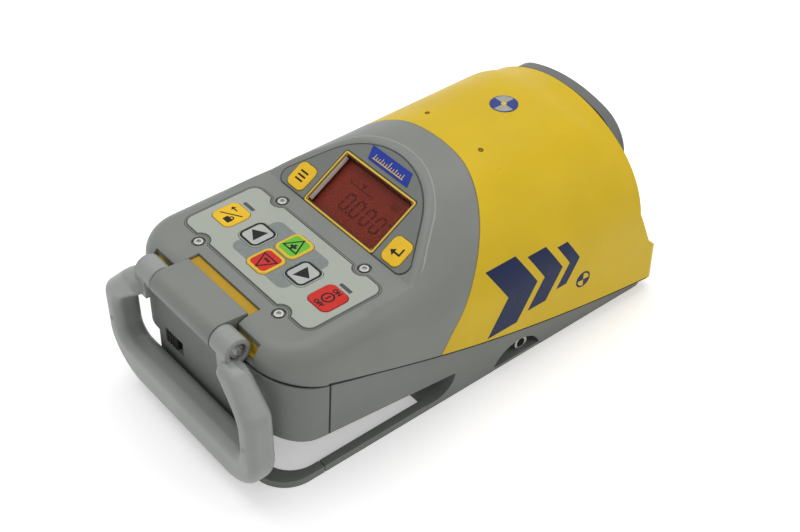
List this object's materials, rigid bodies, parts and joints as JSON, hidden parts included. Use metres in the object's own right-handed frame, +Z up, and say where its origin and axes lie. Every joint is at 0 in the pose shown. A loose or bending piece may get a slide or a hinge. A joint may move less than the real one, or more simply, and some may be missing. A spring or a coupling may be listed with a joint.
{
  "type": "pipe laser",
  "caption": "Low arched pipe laser with a folding carry handle, a keypad, a sloping display, an arched beam window and a self-levelling laser barrel inside.",
  "frame": {"origin": "centre of the overall box in plan, on the floor the base rests on", "axes": "+X along the beam from the handle to the window, +Z up, +Y to the left when looking along the beam"},
  "size_m": [0.2978, 0.1482, 0.1246],
  "materials": {
    "yellow_shell": "satin moulded",
    "grey_shell": "fine texture",
    "grey_base": "painted, fine texture",
    "handle_grey": "satin moulded",
    "plate_grey": "matt printed sheet",
    "overlay_grey": "matt sheet",
    "frame_yellow": "satin",
    "key_yellow": "printed",
    "key_grey": "printed",
    "key_green": "printed",
    "key_red": "printed",
    "badge_blue": "gloss",
    "black_plastic": "matt",
    "black_rubber": "matt",
    "dark_lens": "tinted",
    "clear_glass": "coated",
    "display_glass": "gloss",
    "bezel_grey": "satin",
    "steel": "turned",
    "motor_steel": "drawn",
    "brass": "turned",
    "alloy": "machined",
    "mark_blue": "printed",
    "board_green": "lacquered",
    "cell_wrap": "wrapped"
  },
  "bodies": {
    "housing": {"aperture_bezel": "bezel_grey", "aperture_window": "clear_glass", "badge_plate": "badge_blue", "base_bolts": "steel", "base_casting": "grey_base", "battery_cells": "cell_wrap", "battery_contacts": "brass", "battery_cover": "grey_base", "battery_tray": "black_plastic", "bezel_screws": "steel", "centre_mark_top": "mark_blue", "centre_marks_side": "mark_blue", "chassis_plate": "alloy", "control_cover": "grey_shell", "display_board": "board_green", "display_frame": "frame_yellow", "display_overlay": "overlay_grey", "display_window": "dark_lens", "handle_bushes": "brass", "handle_pivot_screws": "steel", "hinge_block": "grey_shell", "hinge_screws": "steel", "indicator_windows": "dark_lens", "key_mat": "black_rubber", "keypad_board": "board_green", "keypad_plate": "plate_grey", "lcd_module": "display_glass", "leg_inserts": "steel", "line_motor": "motor_steel", "main_board": "board_green", "main_housing": "yellow_shell", "panel_screws": "steel", "parting_gasket": "black_rubber", "stud_insert": "brass", "turntable_bearing": "steel", "window_seal": "black_rubber"},
    "handle": {"handle": "handle_grey"},
    "battery_latch_left": {"battery_latch_left": "black_plastic"},
    "battery_latch_right": {"battery_latch_right": "black_plastic"},
    "turntable": {"line_turntable": "alloy", "grade_motor": "motor_steel"},
    "laser": {"laser_cradle": "alloy", "laser_barrel": "alloy", "laser_diode": "brass", "collimator_lens": "clear_glass", "level_sensor": "black_plastic"},
    "grade_screw": {"grade_screw": "steel"},
    "grade_nut": {"grade_nut": "brass"},
    "line_screw": {"line_screw": "steel"},
    "line_nut": {"line_nut": "brass"},
    "key_lock": {"key_lock": "key_yellow"},
    "key_left": {"key_left": "key_grey"},
    "key_plus": {"key_plus": "key_green"},
    "key_minus": {"key_minus": "key_red"},
    "key_right": {"key_right": "key_grey"},
    "key_power": {"key_power": "key_red"},
    "key_menu": {"key_menu": "key_yellow"},
    "key_enter": {"key_enter": "key_yellow"}
  },
  "joints": [
    {"name": "handle_swing", "type": "hinge", "parent": "housing", "child": "handle", "pos_m": [-0.1326, 0, 0.091], "axis": [0, 1, 0], "range_deg": [0, 160]},
    {"name": "key_lock_press", "type": "slide", "parent": "housing", "child": "key_lock", "axis": [0, 0, -1], "range_m": [0, 0.0008], "stiffness_N_per_m": 600},
    {"name": "key_left_press", "type": "slide", "parent": "housing", "child": "key_left", "axis": [0, 0, -1], "range_m": [0, 0.0008], "stiffness_N_per_m": 600},
    {"name": "key_plus_press", "type": "slide", "parent": "housing", "child": "key_plus", "axis": [0, 0, -1], "range_m": [0, 0.0008], "stiffness_N_per_m": 600},
    {"name": "key_minus_press", "type": "slide", "parent": "housing", "child": "key_minus", "axis": [0, 0, -1], "range_m": [0, 0.0008], "stiffness_N_per_m": 600},
    {"name": "key_right_press", "type": "slide", "parent": "housing", "child": "key_right", "axis": [0, 0, -1], "range_m": [0, 0.0008], "stiffness_N_per_m": 600},
    {"name": "key_power_press", "type": "slide", "parent": "housing", "child": "key_power", "axis": [0, 0, -1], "range_m": [0, 0.0008], "stiffness_N_per_m": 600},
    {"name": "key_menu_press", "type": "slide", "parent": "housing", "child": "key_menu", "axis": [0.515, 0, -0.8572], "range_m": [0, 0.0008], "stiffness_N_per_m": 600},
    {"name": "key_enter_press", "type": "slide", "parent": "housing", "child": "key_enter", "axis": [0.515, 0, -0.8572], "range_m": [0, 0.0008], "stiffness_N_per_m": 600},
    {"name": "battery_latch_left_slide", "type": "slide", "parent": "housing", "child": "battery_latch_left", "axis": [0, -1, 0], "range_m": [0, 0.006]},
    {"name": "battery_latch_right_slide", "type": "slide", "parent": "housing", "child": "battery_latch_right", "axis": [0, 1, 0], "range_m": [0, 0.006]},
    {"name": "line_turn", "type": "hinge", "parent": "housing", "child": "turntable", "pos_m": [0.0839, 0, 0.0115], "axis": [0, 0, 1], "range_deg": [-5.7, 5.7]},
    {"name": "grade_tilt", "type": "hinge", "parent": "turntable", "child": "laser", "pos_m": [0.0839, 0, 0.041], "axis": [0, -1, 0], "range_deg": [-6.8, 21.8]},
    {"name": "grade_nut_slide", "type": "slide", "parent": "turntable", "child": "grade_nut", "axis": [0, 0, 1], "range_m": [-0.0185, 0.0062]},
    {"name": "grade_screw_spin", "type": "hinge", "parent": "turntable", "child": "grade_screw", "pos_m": [0.0389, 0, 0.03], "axis": [0, 0, 1], "range_deg": [-520, 1640]},
    {"name": "line_nut_slide", "type": "slide", "parent": "housing", "child": "line_nut", "axis": [0, 1, 0], "range_m": [-0.0075, 0.0075]},
    {"name": "line_screw_spin", "type": "hinge", "parent": "housing", "child": "line_screw", "pos_m": [0.0119, 0, 0.022], "axis": [0, 1, 0], "range_deg": [-660, 660]}
  ],
  "couplings": [
    {"joint": "grade_nut_slide", "follows": "grade_tilt", "m_per_rad": -0.0464},
    {"joint": "grade_screw_spin", "follows": "grade_tilt", "ratio": 72.885},
    {"joint": "line_nut_slide", "follows": "line_turn", "m_per_rad": -0.072},
    {"joint": "line_screw_spin", "follows": "line_turn", "ratio": 113.1}
  ]
}
